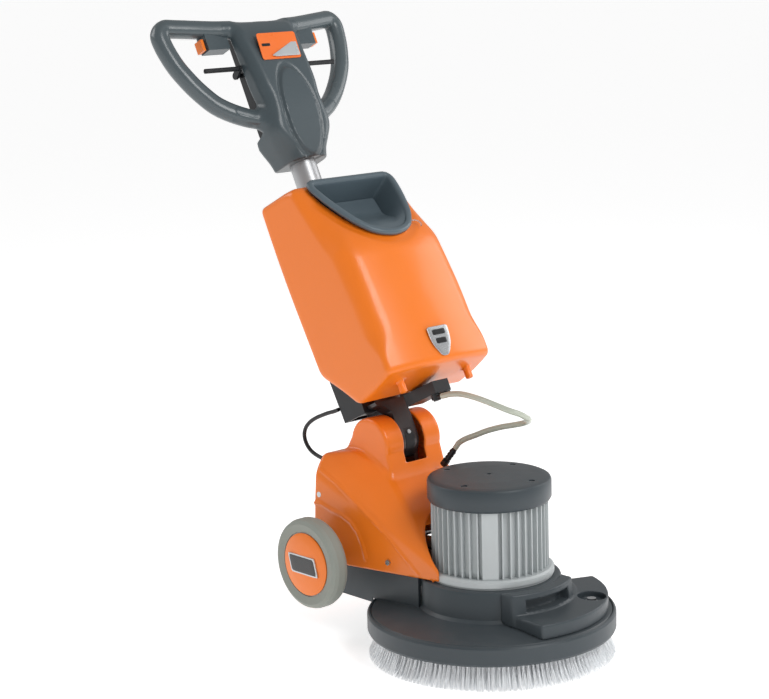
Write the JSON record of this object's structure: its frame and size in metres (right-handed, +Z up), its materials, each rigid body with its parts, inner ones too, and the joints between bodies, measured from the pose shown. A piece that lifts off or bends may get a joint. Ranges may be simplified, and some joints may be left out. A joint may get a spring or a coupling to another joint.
{
  "type": "single-disc floor machine",
  "caption": "Walk-behind floor scrubber: round brush under a hood, finned motor, tilting handle with solution tank and filling tray, loop grips and transport wheels.",
  "frame": {"origin": "centre of the footprint on the floor", "axes": "+Z up; -Y is the front, where the brush is; +Y is the operator's side; X runs across along the wheel axle"},
  "size_m": [0.454, 0.8604, 1.1061],
  "materials": {
    "hood_plastic": "fine grain moulding",
    "handle_plastic": "satin moulding",
    "orange_plastic": "satin gloss moulding",
    "black_plastic": "matte moulding",
    "steel": "machined",
    "screw_steel": "zinc plated",
    "cast_alloy": "silver grey painted casting",
    "laminations": "stacked steel sheet and copper windings",
    "arm_iron": "dark brown grey coating",
    "pole_metal": "satin anodised",
    "tyre_rubber": "grey rubber",
    "hub_plastic": "matte moulding",
    "bristle_nylon": "translucent white filament",
    "clear_nylon": "clear",
    "badge_silver": "metallised",
    "label_print": "printed film",
    "cable_rubber": "smooth sheath",
    "hose_vinyl": "translucent vinyl"
  },
  "bodies": {
    "base": {"deck": "hood_plastic", "bumper": "hood_plastic", "front_block": "hood_plastic", "base_screws": "screw_steel", "base_cover": "orange_plastic", "pivot_bracket": "steel", "pivot_pin": "steel", "axle": "steel", "gearbox_housing": "cast_alloy", "motor_housing": "cast_alloy", "motor_cap": "hood_plastic", "cap_screws": "screw_steel", "stator": "laminations", "motor_bearings": "steel", "run_capacitor": "cast_alloy", "hose_tail": "black_plastic", "cable_gland": "black_plastic", "motor_cable": "cable_rubber", "water_hose": "hose_vinyl"},
    "rotor": {"rotor_shaft": "steel", "rotor_core": "laminations", "sun_gear": "steel", "cooling_fan": "black_plastic"},
    "brush": {"planet_carrier": "steel", "planet_pins": "steel", "drive_plate": "steel", "brush_block": "black_plastic", "bristles": "bristle_nylon"},
    "planet_a": {"planet_gear_1": "steel"},
    "planet_b": {"planet_gear_2": "steel"},
    "planet_c": {"planet_gear_3": "steel"},
    "wheel_left": {"tyre_left": "tyre_rubber", "hub_left": "hub_plastic", "cap_left": "orange_plastic"},
    "wheel_right": {"tyre_right": "tyre_rubber", "hub_right": "hub_plastic", "cap_right": "orange_plastic"},
    "handle": {"pivot_arm": "arm_iron", "arm_insert": "black_plastic", "arm_screw": "screw_steel", "pole": "pole_metal", "electrics_box": "black_plastic", "tank": "orange_plastic", "badge": "badge_silver", "valve_body": "black_plastic", "head_cover": "handle_plastic", "head_back": "black_plastic", "grip_left": "handle_plastic", "grip_right": "handle_plastic", "label": "label_print", "switch_boxes": "handle_plastic", "mains_gland": "black_plastic"},
    "tray": {"tray_lid": "handle_plastic", "tray_loop": "clear_nylon"},
    "tap": {"tap_lever": "black_plastic"},
    "button_left": {"button_left": "orange_plastic"},
    "button_right": {"button_right": "orange_plastic"},
    "run_lever": {"run_lever": "black_plastic"},
    "cord_hook": {"cord_hook": "black_plastic"}
  },
  "joints": [
    {"name": "brush_spin", "type": "hinge", "parent": "base", "child": "brush", "pos_m": [0, -0.20818, 0], "axis": [0, 0, 1], "continuous": true},
    {"name": "rotor_spin", "type": "hinge", "parent": "base", "child": "rotor", "pos_m": [0, -0.20818, 0], "axis": [0, 0, 1], "continuous": true},
    {"name": "planet_a_spin", "type": "hinge", "parent": "brush", "child": "planet_a", "pos_m": [0.036, -0.20818, 0], "axis": [0, 0, 1], "continuous": true},
    {"name": "planet_b_spin", "type": "hinge", "parent": "brush", "child": "planet_b", "pos_m": [-0.018, -0.177, 0], "axis": [0, 0, 1], "continuous": true},
    {"name": "planet_c_spin", "type": "hinge", "parent": "brush", "child": "planet_c", "pos_m": [-0.018, -0.23936, 0], "axis": [0, 0, 1], "continuous": true},
    {"name": "wheel_left_spin", "type": "hinge", "parent": "base", "child": "wheel_left", "pos_m": [-0.195, 0.04782, 0.15], "axis": [1, 0, 0], "continuous": true},
    {"name": "wheel_right_spin", "type": "hinge", "parent": "base", "child": "wheel_right", "pos_m": [0.195, 0.04782, 0.15], "axis": [1, 0, 0], "continuous": true},
    {"name": "handle_tilt", "type": "hinge", "parent": "base", "child": "handle", "pos_m": [0, 0.02982, 0.345], "axis": [-1, 0, 0], "range_deg": [-26, 14], "deforming": ["motor_cable", "water_hose"]},
    {"name": "tray_hinge", "type": "hinge", "parent": "handle", "child": "tray", "pos_m": [0, 0.1447, 0.81463], "axis": [-1, 0, 0], "range_deg": [0, 95]},
    {"name": "tap_turn", "type": "hinge", "parent": "handle", "child": "tap", "pos_m": [0.008, -0.06905, 0.43884], "axis": [0, 0.4384, 0.8988], "range_deg": [0, 90]},
    {"name": "button_left_press", "type": "slide", "parent": "handle", "child": "button_left", "axis": [1, 0, 0], "range_m": [0, 0.0025], "stiffness_N_per_m": 600, "springref_m": -0.001},
    {"name": "button_right_press", "type": "slide", "parent": "handle", "child": "button_right", "axis": [-1, 0, 0], "range_m": [0, 0.0025], "stiffness_N_per_m": 600, "springref_m": -0.001},
    {"name": "run_lever_pull", "type": "hinge", "parent": "handle", "child": "run_lever", "pos_m": [0, 0.36193, 0.99856], "axis": [-1, 0, 0], "range_deg": [0, 12], "stiffness_Nm_per_rad": 0.8, "springref_deg": -8.59},
    {"name": "cord_hook_swivel", "type": "hinge", "parent": "handle", "child": "cord_hook", "pos_m": [0, 0.37022, 0.97449], "axis": [1, 0, 0], "range_deg": [-90, 90]}
  ],
  "couplings": [
    {"joint": "rotor_spin", "follows": "brush_spin", "ratio": 6},
    {"joint": "planet_a_spin", "follows": "brush_spin", "ratio": -2.5},
    {"joint": "planet_b_spin", "follows": "brush_spin", "ratio": -2.5},
    {"joint": "planet_c_spin", "follows": "brush_spin", "ratio": -2.5}
  ]
}
